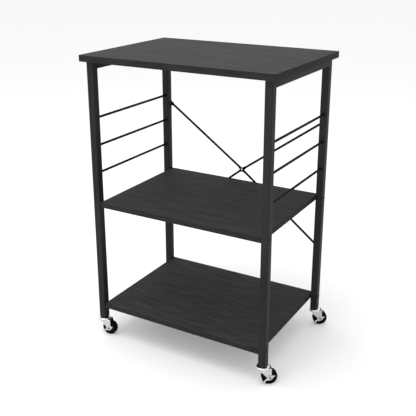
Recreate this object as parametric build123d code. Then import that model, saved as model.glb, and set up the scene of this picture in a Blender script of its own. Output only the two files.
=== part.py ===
from build123d import *
import math
import os

# A three-tier rolling storage cart: laminated boards on a black tube frame with swivel casters.
# All sizes are in millimetres. The origin is on the floor under the middle of the cart.
# +X runs to the right-hand end, +Y to the back and +Z up.

# Overall sizes and boards
top_width = 600.0
top_depth = 430.0
cart_height = 875.0
top_thickness = 18.0
shelf_thickness = 15.0
middle_shelf_height = 441.0
bottom_shelf_height = 108.0
end_overhang = 14.0
front_overhang = 15.0
shelf_setback = 2.0
shelf_gap = 0.2
edge_band = 1.0
board_corner = 2.5

# Tube frame
leg_size = 22.0
leg_wall = 1.5
leg_corner = 2.0
leg_inner_corner = 0.8
rail_height = 22.0
rod_diameter = 7.0
rod_first_gap = 87.0
rod_pitch = 82.5
rod_entry = 6.0
rods_per_side = 3
rod_collar_diameter = 10.0
rod_collar_height = 1.8
rod_collar_round = 1.0

# Crossed brace behind the rear legs
brace_diameter = 7.0
brace_flat = brace_diameter / 2
brace_flat_width = 13.0
brace_end_flat = 20.0
brace_lap = 7.0
brace_centre_flat = 14.0
brace_centre_width = 9.5
brace_centre_lap = 4.0
brace_top_height = 670.0
brace_crossing_height = 475.0
brace_bottom_height = 260.0

# Fasteners
bolt_diameter = 6.0
bolt_head_diameter = 12.0
bolt_head_height = 3.0
bolt_bite = 16.0
bolt_key = 4.0
bolt_key_depth = 1.6
insert_diameter = 10.0
insert_length = 20.0
screw_diameter = 4.5
screw_head_diameter = 9.0
screw_head_height = 2.4
screw_bite = 11.0
screw_spacing = 220.0
brace_bolt_diameter = 5.0
brace_bolt_head_diameter = 10.0
brace_bolt_head_height = 2.4
brace_bolt_bite = 8.0
centre_bolt_diameter = 4.0
centre_head_diameter = 8.0
centre_head_height = 1.6
centre_nut_size = 7.0
centre_nut_height = 3.2
centre_key = 2.5
rivet_nut_wall = 1.0
rivet_nut_length = 11.0
rivet_nut_bulge = 1.2
rivet_nut_bulge_length = 2.5
small_key = 3.0
small_key_depth = 1.0
head_round = 0.9

# Casters
wheel_diameter = 45.0
wheel_width = 17.5
wheel_side_gap = 0.6
tyre_shoulder = 3.0
tyre_groove_depth = 0.7
tyre_groove_width = 1.2
tyre_groove_circle = 37.0
hub_diameter = 30.0
hub_boss_diameter = 15.0
hub_rim = 2.0
hub_recess = 2.0
axle_diameter = 5.0
axle_head_diameter = 8.0
axle_head_height = 1.4
bush_wall = 1.5
bush_end_gap = 0.1
trail = 18.5
crown_gap = 5.4
crown_diameter = 34.0
yoke_sheet = 1.6
plate_lead = 15.0
plate_tail = 4.0
plate_boss = 5.5
ball_diameter = 3.0
ball_circle = 24.0
ball_gap = 0.1
balls_per_caster = 12
cup_diameter = 38.0
cup_sheet = 1.6
cup_lip_gap = 0.7
cup_round = 2.4
stem_diameter = 8.0
stem_reach = 16.0
stem_head_diameter = 13.0
stem_head_height = 1.6
stem_head_gap = 0.15
socket_collar = 2.0
socket_collar_diameter = 22.0
socket_depth = 19.0
lever_sheet = 1.5
lever_gap = 0.3
lever_press_reach = 14.5
lever_lift_reach = 12.5
lever_oval_reach = 10.5
lever_half_width = 6.8
lever_tilt = 28.0
lever_strip_width = 4.6
tab_flare = 45.0
press_tab_length = 6.5
press_tab_width = 6.5
lift_tab_length = 3.5

# How far each caster stands turned about its leg at rest, in degrees from +X towards +Y
caster_turns = {
    "front_left": 10.0,
    "front_right": 38.0,
    "rear_left": 35.0,
    "rear_right": 34.0,
}

# Clearances on the radius: fixed pieces, turning pieces, rods in their holes
fixed_clearance = 0.05
running_clearance = 0.05
rod_clearance = 0.25
bolt_clearance = 0.25
socket_clearance = 0.1

# Heights worked out from the wheel upwards
axle_height = wheel_diameter / 2
crown_underside = wheel_diameter + crown_gap
crown_top = crown_underside + yoke_sheet
cup_underside = crown_top + ball_diameter + 2 * ball_gap
cup_top = cup_underside + cup_sheet
leg_bottom = cup_top + socket_collar
leg_top = cart_height - top_thickness

# Places worked out from the top board inwards
leg_outer_x = top_width / 2 - end_overhang
leg_outer_y = top_depth / 2 - front_overhang
leg_x = leg_outer_x - leg_size / 2
leg_y = leg_outer_y - leg_size / 2
leg_inner_x = leg_outer_x - leg_size
leg_inner_y = leg_outer_y - leg_size
shelf_width = 2 * (leg_inner_x - shelf_gap)
shelf_depth = 2 * (leg_outer_y - shelf_setback)
shelf_bolt_heights = [
    middle_shelf_height - shelf_thickness / 2,
    bottom_shelf_height - shelf_thickness / 2,
]
rod_heights = [middle_shelf_height + rod_first_gap + rod_pitch * i for i in range(rods_per_side)]
brace_bolt_heights = [brace_top_height, brace_bottom_height]
plate_inner = wheel_width / 2 + wheel_side_gap
plate_outer = plate_inner + yoke_sheet
lever_inner = plate_outer + lever_gap
lever_outer = lever_inner + lever_sheet
rivet_nut_radius = brace_bolt_diameter / 2 + fixed_clearance + rivet_nut_wall
bush_radius = axle_diameter / 2 + fixed_clearance + bush_wall

# Each corner's name with its side of the cart: -1 is left or front, 1 is right or rear
corners = {
    "front_left": (-1, -1),
    "front_right": (1, -1),
    "rear_left": (-1, 1),
    "rear_right": (1, 1),
}
sides = {"left": -1, "right": 1}
rod_names = ["lower", "middle", "upper"]

low_align = (Align.CENTER, Align.CENTER, Align.MIN)
high_align = (Align.CENTER, Align.CENTER, Align.MAX)


def along_x(shape):
    """Turns a shape made along Z so that it runs along X."""
    return Rot(0, 90, 0) * shape


def along_y(shape):
    """Turns a shape made along Z so that it runs along Y, with its top at the back."""
    return Rot(-90, 0, 0) * shape


def upright(outline, y_low, thickness):
    """Gives an outline drawn in X and Z a thickness along Y, starting at y_low."""
    return Pos(0, y_low + thickness, 0) * extrude(Plane.XZ * outline, thickness)


def at_corner(shape, corner):
    """Moves a caster piece, made round the swivel axis, under one leg."""
    side, end = corners[corner]
    return Pos(side * leg_x, end * leg_y, 0) * shape


def turned_at_corner(shape, corner):
    """Moves a piece that swivels under one leg, turned as that caster stands at rest."""
    return at_corner(Rot(0, 0, caster_turns[corner]) * shape, corner)


def at_every_corner(shape):
    """One copy of a caster piece under each leg, as separate solids."""
    solids = []
    for corner in corners:
        solids += at_corner(shape, corner).solids()
    return Compound(solids)


def save(node, shape):
    """Writes one node's STEP file."""
    shape.label = node
    export_step(shape, os.path.join("parts", node + ".step"))


# Boards: a core with a strip glued round its edges
def board_outline(width, depth, inset):
    return RectangleRounded(width - 2 * inset, depth - 2 * inset, board_corner - inset)


def board_core(width, depth, thickness, upper_face):
    return Pos(0, 0, upper_face - thickness) * extrude(board_outline(width, depth, edge_band), thickness)


def board_band(width, depth, thickness, upper_face):
    ring = board_outline(width, depth, 0) - board_outline(width, depth, edge_band)
    return Pos(0, 0, upper_face - thickness) * extrude(ring, thickness)


def screw_places():
    return [(side * leg_x, y) for side in sides.values() for y in (-screw_spacing / 2, screw_spacing / 2)]


def make_top_board():
    board = board_core(top_width, top_depth, top_thickness, cart_height)
    pilot = Cylinder(screw_diameter / 2 + fixed_clearance, screw_bite + fixed_clearance, align=low_align)
    for x, y in screw_places():
        board -= Pos(x, y, leg_top) * pilot
    return board


def insert_holes(height):
    """Holes in both ends of a shelf for its threaded inserts."""
    hole = Cylinder(insert_diameter / 2 + fixed_clearance, 2 * (insert_length + shelf_gap))
    cuts = []
    for side, end in corners.values():
        cuts.append(Pos(side * leg_inner_x, end * leg_y, height) * along_x(hole))
    return cuts


def make_shelf(upper_face):
    shelf = board_core(shelf_width, shelf_depth, shelf_thickness, upper_face)
    for cut in insert_holes(upper_face - shelf_thickness / 2):
        shelf -= cut
    return shelf


def make_shelf_band(upper_face):
    band = board_band(shelf_width, shelf_depth, shelf_thickness, upper_face)
    for cut in insert_holes(upper_face - shelf_thickness / 2):
        band -= cut
    return band


# Tubes
def tube_section(width, height):
    outer = RectangleRounded(width, height, leg_corner)
    inner = RectangleRounded(width - 2 * leg_wall, height - 2 * leg_wall, leg_inner_corner)
    return outer - inner


def make_leg(corner):
    """One leg, drilled for its shelf bolts and rods, and at the back for the brace."""
    side, end = corners[corner]
    leg = Pos(0, 0, leg_bottom) * extrude(tube_section(leg_size, leg_size), leg_top - leg_bottom)
    bolt_hole = along_x(Cylinder(bolt_diameter / 2 + bolt_clearance, 2 * leg_size))
    for height in shelf_bolt_heights:
        leg -= Pos(0, 0, height) * bolt_hole
    rod_hole = along_y(Cylinder(rod_diameter / 2 + rod_clearance, leg_size))
    for height in rod_heights:
        leg -= Pos(0, -end * leg_size / 2, height) * rod_hole
    if end > 0:
        nut_hole = along_y(Cylinder(rivet_nut_radius + fixed_clearance, leg_size))
        for height in brace_bolt_heights:
            leg -= Pos(0, leg_size / 2, height) * nut_hole
    return Pos(side * leg_x, end * leg_y, 0) * leg


def make_rail(side):
    """The tube under one end of the top board, between the front and the rear leg."""
    middle = leg_top - rail_height / 2
    rail = along_y(extrude(tube_section(leg_size, rail_height), leg_inner_y, both=True))
    rail = Pos(0, 0, middle) * rail
    hole = Cylinder(screw_diameter / 2 + bolt_clearance, 2 * rail_height)
    for y in (-screw_spacing / 2, screw_spacing / 2):
        rail -= Pos(0, y, middle) * hole
    return Pos(side * leg_x, 0, 0) * rail


def make_rod(side, height):
    rod = along_y(Cylinder(rod_diameter / 2, 2 * (leg_inner_y + rod_entry)))
    return Pos(side * leg_x, 0, height) * rod


def make_rod_collars():
    """Rings that close the rods' holes, standing on the inner faces of the legs."""
    ring = Cylinder(rod_collar_diameter / 2, rod_collar_height, align=low_align)
    ring = fillet(ring.edges().group_by(Axis.Z)[-1], rod_collar_round)
    ring -= Cylinder(rod_diameter / 2 + fixed_clearance, 4 * rod_collar_height)
    solids = []
    for side, end in corners.values():
        for height in rod_heights:
            place = Pos(side * leg_x, end * leg_inner_y, height) * Rot(end * 90, 0, 0)
            solids += (place * ring).solids()
    return Compound(solids)


# Crossed brace
def make_brace_arm(side, rise, centre_depth):
    """Half of a brace bar, from the crossing out to a leg on one side: flat at both ends and round between."""
    length = math.hypot(leg_x, rise)
    rod_start = brace_centre_flat / 2
    rod_length = length - brace_end_flat - rod_start
    rod = along_x(Cylinder(brace_diameter / 2, rod_length, align=low_align))
    inner_length = rod_start + brace_centre_lap
    inner_flat = Pos(inner_length / 2, 0) * Rectangle(inner_length, brace_centre_width)
    inner_flat += Circle(brace_centre_width / 2)
    inner_flat -= Circle(centre_bolt_diameter / 2 + bolt_clearance)
    outer_length = brace_end_flat + brace_lap
    outer_flat = Pos(length - outer_length / 2, 0) * Rectangle(outer_length, brace_flat_width)
    outer_flat += Pos(length, 0) * Circle(brace_flat_width / 2)
    outer_flat -= Pos(length, 0) * Circle(brace_bolt_diameter / 2 + bolt_clearance)
    arm = Pos(rod_start, brace_diameter / 2, 0) * rod
    arm += upright(inner_flat, centre_depth, brace_flat)
    arm += upright(outer_flat, 0, brace_flat)
    arm = Rot(0, -math.degrees(math.atan2(rise, leg_x)), 0) * arm
    if side < 0:
        arm = mirror(arm, about=Plane.YZ)
    return arm


def make_brace(direction, centre_depth):
    """A bar lying on the rear legs' back faces, with a slight bend where it is flattened at the crossing.

    direction is 1 for the bar that falls to the right and -1 for the bar that rises to the right.
    centre_depth is how far behind the legs the flattened middle starts.
    """
    bar = make_brace_arm(-direction, brace_top_height - brace_crossing_height, centre_depth)
    bar += make_brace_arm(direction, brace_bottom_height - brace_crossing_height, centre_depth)
    return Pos(0, leg_outer_y, brace_crossing_height) * bar


# Fasteners, each made along Z with its head above zero
def round_head(diameter, height, key, key_depth):
    head = Cylinder(diameter / 2, height, align=low_align)
    head = fillet(head.edges().group_by(Axis.Z)[-1], head_round)
    return head - Pos(0, 0, height - key_depth) * extrude(RegularPolygon(key / 2, 6, major_radius=False), key)


def make_bolt(diameter, length, head):
    return head + Cylinder(diameter / 2, length, align=high_align)


def make_shelf_bolts(height):
    length = leg_size + shelf_gap + bolt_bite
    head = round_head(bolt_head_diameter, bolt_head_height, bolt_key, bolt_key_depth)
    bolt = make_bolt(bolt_diameter, length, head)
    solids = []
    for side, end in corners.values():
        solids += (Pos(side * leg_outer_x, end * leg_y, height) * Rot(0, side * 90, 0) * bolt).solids()
    return Compound(solids)


def make_shelf_inserts(height):
    insert = Cylinder(insert_diameter / 2, insert_length, align=high_align)
    insert -= Cylinder(bolt_diameter / 2 + fixed_clearance, 2 * insert_length)
    solids = []
    for side, end in corners.values():
        x = side * (leg_inner_x - shelf_gap)
        solids += (Pos(x, end * leg_y, height) * Rot(0, side * 90, 0) * insert).solids()
    return Compound(solids)


def make_top_screws():
    head = round_head(screw_head_diameter, screw_head_height, small_key, small_key_depth)
    screw = make_bolt(screw_diameter, rail_height + screw_bite, head)
    solids = []
    for x, y in screw_places():
        solids += (Pos(x, y, leg_top - rail_height) * Rot(180, 0, 0) * screw).solids()
    return Compound(solids)


def brace_end_places():
    return [(side * leg_x, height) for side in sides.values() for height in brace_bolt_heights]


def make_brace_end_bolts():
    head = round_head(brace_bolt_head_diameter, brace_bolt_head_height, small_key, small_key_depth)
    bolt = along_y(make_bolt(brace_bolt_diameter, brace_flat + brace_bolt_bite, head))
    solids = []
    for x, height in brace_end_places():
        solids += (Pos(x, leg_outer_y + brace_flat, height) * bolt).solids()
    return Compound(solids)


def make_brace_rivet_nuts():
    """Threaded sleeves in the rear legs' back walls, bulged behind the wall."""
    nut = Cylinder(rivet_nut_radius, rivet_nut_length, align=high_align)
    bulge = Cylinder(rivet_nut_radius + rivet_nut_bulge, rivet_nut_bulge_length, align=high_align)
    nut += Pos(0, 0, -leg_wall) * bulge
    nut -= Cylinder(brace_bolt_diameter / 2 + fixed_clearance, 2 * rivet_nut_length)
    solids = []
    for x, height in brace_end_places():
        solids += (Pos(x, leg_outer_y, height) * along_y(nut)).solids()
    return Compound(solids)


def make_brace_centre_bolt():
    """Through bolt at the crossing, with its head towards the front."""
    head = round_head(centre_head_diameter, centre_head_height, centre_key, small_key_depth)
    bolt = make_bolt(centre_bolt_diameter, 2 * brace_flat + centre_nut_height, head)
    return Pos(0, leg_outer_y, brace_crossing_height) * Rot(90, 0, 0) * bolt


def make_brace_centre_nut():
    nut = extrude(RegularPolygon(centre_nut_size / 2, 6, major_radius=False), centre_nut_height)
    nut -= Cylinder(centre_bolt_diameter / 2 + fixed_clearance, 4 * centre_nut_height)
    return Pos(0, leg_outer_y + 2 * brace_flat, brace_crossing_height) * along_y(nut)


# Caster pieces, made round the swivel axis with the wheel trailing towards +X, turned when they are placed
def make_socket():
    """Plastic plug in the foot of a leg, with a round collar under the tube."""
    plug_size = leg_size - 2 * leg_wall - 2 * socket_clearance
    plug = extrude(RectangleRounded(plug_size, plug_size, leg_inner_corner), socket_depth)
    plug += Cylinder(socket_collar_diameter / 2, socket_collar, align=high_align)
    plug -= Cylinder(stem_diameter / 2 + fixed_clearance, 4 * socket_depth)
    return Pos(0, 0, leg_bottom) * plug


def make_stem():
    """Swivel pin: fixed in the socket, with a peened head under the yoke's crown."""
    head_top = crown_underside - stem_head_gap
    pin = Cylinder(stem_diameter / 2, leg_bottom + stem_reach - head_top, align=low_align)
    pin += Cylinder(stem_head_diameter / 2, stem_head_height, align=high_align)
    return Pos(0, 0, head_top) * pin


def make_cup():
    """Upper bearing dish, fixed on the stem, whose lip hangs over the balls."""
    lip_bottom = crown_top + cup_lip_gap
    cup = Pos(0, 0, lip_bottom) * Cylinder(cup_diameter / 2, cup_top - lip_bottom, align=low_align)
    cup = fillet(cup.edges().group_by(Axis.Z)[-1], cup_round)
    hollow_height = cup_underside - lip_bottom
    cup -= Pos(0, 0, lip_bottom) * Cylinder(cup_diameter / 2 - cup_sheet, hollow_height, align=low_align)
    return cup - Pos(0, 0, lip_bottom) * Cylinder(stem_diameter / 2 + fixed_clearance, 4 * cup_diameter)


def make_balls():
    height = crown_top + ball_gap + ball_diameter / 2
    ring = PolarLocations(ball_circle / 2, balls_per_caster)
    return Compound([Pos(0, 0, height) * place * Sphere(ball_diameter / 2) for place in ring])


def tangent_point(start, centre, radius, turn):
    """Where a line from start touches a circle; turn picks the touch on one side or the other."""
    reach = math.hypot(start[0] - centre[0], start[1] - centre[1])
    angle = math.atan2(start[1] - centre[1], start[0] - centre[0]) + turn * math.acos(radius / reach)
    return (centre[0] + radius * math.cos(angle), centre[1] + radius * math.sin(angle))


def make_yoke():
    """Pressed fork: a round crown with two side plates that narrow to the axle."""
    axle_point = (trail, axle_height)
    front_top = (-plate_lead, crown_top)
    rear_top = (trail + plate_tail, crown_top)
    front_touch = tangent_point(front_top, axle_point, plate_boss, 1)
    rear_touch = tangent_point(rear_top, axle_point, plate_boss, -1)
    lowest = (trail, axle_height - plate_boss)
    edges = Polyline(front_touch, front_top, rear_top, rear_touch)
    edges += ThreePointArc(rear_touch, lowest, front_touch)
    plate = make_face(edges)
    plate -= Pos(trail, axle_height) * Circle(axle_diameter / 2 + fixed_clearance)
    bridge_length = plate_lead + trail + plate_tail
    bridge = Pos(trail + plate_tail - bridge_length / 2, 0) * Rectangle(bridge_length, 2 * plate_outer)
    crown = bridge + Circle(crown_diameter / 2) - Circle(stem_diameter / 2 + running_clearance)
    yoke = Pos(0, 0, crown_underside) * extrude(crown, yoke_sheet)
    yoke += upright(plate, plate_inner, yoke_sheet)
    yoke += upright(plate, -plate_outer, yoke_sheet)
    return yoke


def make_axle():
    """Rivet through both side plates and the brake lever."""
    front = -(lever_outer + lever_gap)
    shank = Cylinder(axle_diameter / 2, plate_outer - front, align=low_align)
    head = Cylinder(axle_head_diameter / 2, axle_head_height, align=low_align)
    head = fillet(head.edges().group_by(Axis.Z)[-1], head_round)
    axle = shank + Pos(0, 0, plate_outer - front) * head + Rot(180, 0, 0) * head
    return Pos(trail, front, axle_height) * along_y(axle)


def make_bush():
    """Sleeve clamped between the side plates, on which the hub turns."""
    bush = Cylinder(bush_radius, 2 * (plate_inner - bush_end_gap))
    bush -= Cylinder(axle_diameter / 2 + fixed_clearance, 4 * plate_inner)
    return Pos(trail, 0, axle_height) * along_y(bush)


def make_hub():
    hub = Cylinder(hub_diameter / 2, wheel_width)
    recess = Cylinder(hub_diameter / 2 - hub_rim, hub_recess) - Cylinder(hub_boss_diameter / 2, hub_recess)
    for end in (-1, 1):
        hub -= Pos(0, 0, end * (wheel_width - hub_recess) / 2) * recess
    hub -= Cylinder(bush_radius + running_clearance, 2 * wheel_width)
    return Pos(trail, 0, axle_height) * along_y(hub)


def make_tyre():
    tyre = Cylinder(wheel_diameter / 2, wheel_width)
    tyre = fillet(tyre.edges().filter_by(GeomType.CIRCLE), tyre_shoulder)
    tyre -= Cylinder(hub_diameter / 2, 2 * wheel_width)
    groove = Cylinder((tyre_groove_circle + tyre_groove_width) / 2, tyre_groove_depth)
    groove -= Cylinder((tyre_groove_circle - tyre_groove_width) / 2, tyre_groove_depth)
    for end in (-1, 1):
        tyre -= Pos(0, 0, end * (wheel_width - tyre_groove_depth) / 2) * groove
    return Pos(trail, 0, axle_height) * along_y(tyre)


def make_lever():
    """Brake lever on the axle: an oval on a strip, with a low tab that brakes and a high tab that frees."""
    strip_length = lever_press_reach + lever_lift_reach
    outline = Pos(lever_lift_reach - strip_length / 2, 0) * Rectangle(strip_length, lever_strip_width)
    outline += Ellipse(lever_oval_reach, lever_half_width)
    outline -= Circle(axle_diameter / 2 + running_clearance)
    lever = upright(outline, -lever_outer, lever_sheet)
    press_tab = Pos(-press_tab_length / 2, 0, 0) * Box(press_tab_length, lever_sheet, press_tab_width)
    press_tab = Rot(0, 0, tab_flare) * press_tab + Cylinder(lever_sheet / 2, press_tab_width)
    lift_tab = Pos(lift_tab_length / 2, 0, 0) * Box(lift_tab_length, lever_sheet, lever_strip_width)
    lift_tab = Rot(0, 0, -tab_flare) * lift_tab + Cylinder(lever_sheet / 2, lever_strip_width)
    lever_middle = -lever_outer + lever_sheet / 2
    lever += Pos(-lever_press_reach, lever_middle, 0) * press_tab
    lever += Pos(lever_lift_reach, lever_middle, 0) * lift_tab
    return Pos(trail, 0, axle_height) * Rot(0, -lever_tilt, 0) * lever


def main():
    os.makedirs("parts", exist_ok=True)

    save("top_board", make_top_board())
    save("top_board_edge_band", board_band(top_width, top_depth, top_thickness, cart_height))
    save("top_board_screws", make_top_screws())
    for name, upper_face in (("middle", middle_shelf_height), ("bottom", bottom_shelf_height)):
        bolt_height = upper_face - shelf_thickness / 2
        save(name + "_shelf", make_shelf(upper_face))
        save(name + "_shelf_edge_band", make_shelf_band(upper_face))
        save(name + "_shelf_bolts", make_shelf_bolts(bolt_height))
        save(name + "_shelf_inserts", make_shelf_inserts(bolt_height))

    for corner in corners:
        save(corner + "_leg", make_leg(corner))
    for name, side in sides.items():
        save(name + "_top_rail", make_rail(side))
        for rod_name, height in zip(rod_names, rod_heights):
            save(f"{name}_{rod_name}_rod", make_rod(side, height))
    save("rod_collars", make_rod_collars())

    save("falling_brace", make_brace(1, 0))
    save("rising_brace", make_brace(-1, brace_flat))
    save("brace_end_bolts", make_brace_end_bolts())
    save("brace_rivet_nuts", make_brace_rivet_nuts())
    save("brace_centre_bolt", make_brace_centre_bolt())
    save("brace_centre_nut", make_brace_centre_nut())

    save("caster_sockets", at_every_corner(make_socket()))
    save("caster_stems", at_every_corner(make_stem()))
    save("caster_bearing_cups", at_every_corner(make_cup()))
    save("caster_bearing_balls", at_every_corner(make_balls()))
    moving_pieces = {
        "yoke": make_yoke(),
        "axle": make_axle(),
        "axle_bush": make_bush(),
        "wheel_hub": make_hub(),
        "tyre": make_tyre(),
        "brake_lever": make_lever(),
    }
    for corner in corners:
        for piece, shape in moving_pieces.items():
            save(f"{corner}_{piece}", turned_at_corner(shape, corner))


main()
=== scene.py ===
import bmesh
import bpy
import math
from mathutils import Matrix, Vector


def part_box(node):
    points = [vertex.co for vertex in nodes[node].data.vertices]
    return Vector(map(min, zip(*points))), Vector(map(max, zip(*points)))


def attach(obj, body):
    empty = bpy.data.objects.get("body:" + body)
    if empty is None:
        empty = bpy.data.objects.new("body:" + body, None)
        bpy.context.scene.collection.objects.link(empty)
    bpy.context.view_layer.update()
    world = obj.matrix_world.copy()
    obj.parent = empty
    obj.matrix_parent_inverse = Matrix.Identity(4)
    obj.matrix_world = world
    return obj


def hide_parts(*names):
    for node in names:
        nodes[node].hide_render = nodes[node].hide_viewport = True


# A three-tier rolling storage cart: charcoal laminate boards on a black tube frame with plated casters.
# Lengths are in metres. +X runs to the right-hand end, +Y to the back and +Z up from the floor.

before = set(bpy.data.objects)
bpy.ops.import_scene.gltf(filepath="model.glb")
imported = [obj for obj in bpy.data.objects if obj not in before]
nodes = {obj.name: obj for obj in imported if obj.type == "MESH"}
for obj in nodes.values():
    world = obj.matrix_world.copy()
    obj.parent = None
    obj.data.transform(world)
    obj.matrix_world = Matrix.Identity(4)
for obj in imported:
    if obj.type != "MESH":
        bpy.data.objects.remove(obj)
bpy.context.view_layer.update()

MM = 0.001
CORNERS = ("front_left", "front_right", "rear_left", "rear_right")
BOARDS = ("top_board", "middle_shelf", "bottom_shelf")
RODS = tuple(f"{side}_{row}_rod" for side in ("left", "right") for row in ("lower", "middle", "upper"))

# Board edges
BOARD_CORNER = 2.5 * MM
STRIP_ARRIS = 0.35 * MM
CORNER_STEPS = 8
ARRIS_STEPS = 3

# Fasteners: head diameter, head height, key width, key depth, shank diameter
SHELF_BOLT = (12 * MM, 3 * MM, 4 * MM, 1.6 * MM, 6 * MM)
BRACE_BOLT = (10 * MM, 2.4 * MM, 3 * MM, 1.0 * MM, 5 * MM)
CENTRE_BOLT = (8 * MM, 1.6 * MM, 2.5 * MM, 1.0 * MM, 4 * MM)
TOP_SCREW = (9 * MM, 2.4 * MM, 3 * MM, 1.0 * MM, 4.5 * MM)

# Fastener heads: the fall of the dome, the shank's reach into the head and the key hole's form
DOME_FALL = 0.62
DOME_POWER = 2.6
DOME_STATIONS = 12
HEAD_SIDES = 40
SHANK_SIDES = 24
SHANK_OVERLAP = 0.4
KEY_SIDES = 6
KEY_CORNER = 0.577

# Brace bars
BAR_DIAMETER = 7 * MM
FLAT_THICKNESS = 3.5 * MM
END_FLAT = 14 * MM
END_WIDTH = 13 * MM
MIDDLE_FLAT = 13 * MM
MIDDLE_WIDTH = 9.5 * MM
FLAT_BLEND = 9 * MM
FLAT_SQUARENESS = 0.6
BAR_TIP = 0.004
BAR_STATIONS = 500
BAR_SIDES = 28

# Domed collars where the rods enter the legs, and weld beads under the top rails' ends
COLLAR_BORE = 3.55 * MM
COLLAR_RADIUS = 5 * MM
COLLAR_HEIGHT = 1.8 * MM
COLLAR_SIDES = 40
COLLAR_DOME_STEPS = 24
WELD_STEP = 1.3 * MM
WELD_RADIUS = 1.3 * MM
WELD_SPREAD = (0.82, 1.12)
WELD_DROP_DETAIL = 3
WELD_SEED = 4

# Caster forks
SHEET = 1.6 * MM
FORK_EDGE = 0.3 * MM
PLATE_MIDDLE = 10.15 * MM
PLATE_BOSS = 5.5 * MM
PLATE_LEAD = 15 * MM
PLATE_TAIL = 4 * MM
PLATE_LOWEST = 0.02
CROWN_MIDDLE = 51.2 * MM
CROWN_RADIUS = 17 * MM
CROWN_LIFT = 0.1 * MM
# Painted shade: above the first height the fork's plating is darkened, with an edge that wanders and fades;
# the last height is above all plating, so none is darkened there
SHADE_LINE = 50.6 * MM
SHADE_WANDER = 0.8 * MM
SHADE_FADE = 0.7 * MM
NO_SHADE_LINE = 1.0
BEND = 2.4 * MM
RIM = 1.6 * MM
RIM_WIDEST_SHARE = 0.2
RIM_HEIGHT = 1.0 * MM
RIM_LOW = 34.5 * MM
RIM_HIGH = 37.5 * MM

# Brake pedals
PEDAL_SHEET = 1.5 * MM
PEDAL_EDGE = 0.4 * MM
PEDAL_MIDDLE = 12 * MM
PRESS_REACH = 14.5 * MM
LIFT_REACH = 12.5 * MM
PEDAL_OVAL = 10.5 * MM
PEDAL_HALF_WIDTH = 6.8 * MM
PEDAL_HALF_TIP = 2.3 * MM
PRESS_HALF = 3.25 * MM
PRESS_TAB = 6.5 * MM
LIFT_TAB = 3.5 * MM
TAB_FLARE = math.radians(45)
PEDAL_BEND = 1.8 * MM
PEDAL_DOME = 0.35 * MM
PEDAL_TILT = math.radians(28)

# Wheels
WHEEL_WIDTH = 17.5 * MM
HUB_RADIUS = 15 * MM
HUB_BORE = 4.1 * MM
HUB_BOSS = 7.5 * MM
HUB_RIM = 2 * MM
HUB_RECESS = 2 * MM
HUB_CORNER = 0.6 * MM
HUB_CORNER_STEPS = 3
TYRE_SHOULDER = 3 * MM
TYRE_SHOULDER_STEPS = 10
GROOVE_RADIUS = 18.5 * MM
GROOVE_WIDTH = 1.2 * MM
GROOVE_DEPTH = 0.7 * MM
SEAM_HALF_WIDTH = 0.25 * MM
SEAM_FLOOR = 0.12 * MM
SEAM_DEPTH = 0.08 * MM

# Bearing dishes
DISH_SHEET = 1.3 * MM
DISH_ROUND = 3 * MM
DISH_ROUND_DEGREES = 78
DISH_BORE = 4.05 * MM
DISH_FALL = 0.35 * MM
DISH_STEP = 0.05 * MM
DISH_STEP_SHARES = (0.62, 0.58)

# Turned and pressed pieces
TURN_STEPS = 64
BENT_EDGE = math.radians(50)
SAME_PLACE = 0.001 * MM

# Finishes: dark and light tones of a surface
LAMINATE_TONES = ((0.012, 0.0118, 0.0116), (0.052, 0.051, 0.0506))
STRIP_TONES = ((0.0105, 0.0104, 0.0102), (0.025, 0.0247, 0.0243))
OXIDE_TONES = ((0.008, 0.008, 0.0085), (0.024, 0.024, 0.025))
ZINC_TONES = ((0.5, 0.5, 0.5), (0.68, 0.68, 0.66))
# Painted shade: the dark tone laid over the fork's crown
SHADE_TONE = (0.1, 0.098, 0.095)

# Finishes: how often a pattern repeats in a metre, the same all ways or along X, Y and Z
BANDS = (9, 75, 75)
STREAKS = (18, 290, 290)
PORES = (45, 1500, 1500)
PEEL = 1100
CLOUDS = (14, 14, 5)
TOOL_MARKS = (900, 900, 250)
SMUDGES = 160
SCRATCHES = (2600, 160, 900)
RIPPLES = 210
SPANGLE = 700.0
ZINC_BLOOM = 420
FLOW_MARKS = 55

# Finishes: depths of the embossed patterns
PORE_DEPTH = 0.12 * MM
PEEL_DEPTH = 0.05 * MM
TOOL_MARK_DEPTH = 0.03 * MM
RIPPLE_DEPTH = 0.08 * MM
SPANGLE_DEPTH = 0.02 * MM

# Camera at the photograph's viewing angle
CAMERA_PLACE = (0.99602, -1.74261, 1.1767)
CAMERA_PITCH = math.radians(-18.59)
CAMERA_YAW = math.radians(30)
CAMERA_LENS = 61.54
CAMERA_SENSOR = 36
CAMERA_SHIFT = -0.07

# Light. A softbox has a name, a place, a target, a width and a power
SOFTBOXES = (
    ("top_softbox", (-0.3, -0.5, 3.0), (0, 0, 0.5), 2.2, 37),
    ("front_softbox", (-0.4, -2.6, 0.5), (0, 0, 0.45), 1.0, 20),
)
SKY_STRENGTH = 0.92
FLOOR_COLOUR = 0.86
FLOOR_LIFT = 0.15
FLOOR_SIZE = 40.0


# Node trees
class Field:
    """A number in a node tree. Arithmetic on it adds Math nodes to the tree."""

    def __init__(self, tree, socket):
        self.tree = tree
        self.socket = socket

    def math(self, operation, *others):
        made = self.tree.nodes.new("ShaderNodeMath")
        made.operation = operation
        for target, value in zip(made.inputs, (self, *others)):
            feed(self.tree, target, value)
        return Field(self.tree, made.outputs[0])

    def __add__(self, other):
        return self.math("ADD", other)

    def __sub__(self, other):
        return self.math("SUBTRACT", other)

    def __mul__(self, other):
        return self.math("MULTIPLY", other)

    def __truediv__(self, other):
        return self.math("DIVIDE", other)

    def size(self):
        return self.math("ABSOLUTE")

    def at_least(self, other):
        return self.math("MAXIMUM", other)

    def at_most(self, other):
        return self.math("MINIMUM", other)

    def rising(self, start, stop):
        """0 up to start, 1 from stop on, and smooth between."""
        made = add(self.tree, "ShaderNodeMapRange", interpolation_type="SMOOTHSTEP")
        for socket, value in (("Value", self), ("From Min", start), ("From Max", stop)):
            feed(self.tree, made.inputs[socket], value)
        return Field(self.tree, made.outputs["Result"])


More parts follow.
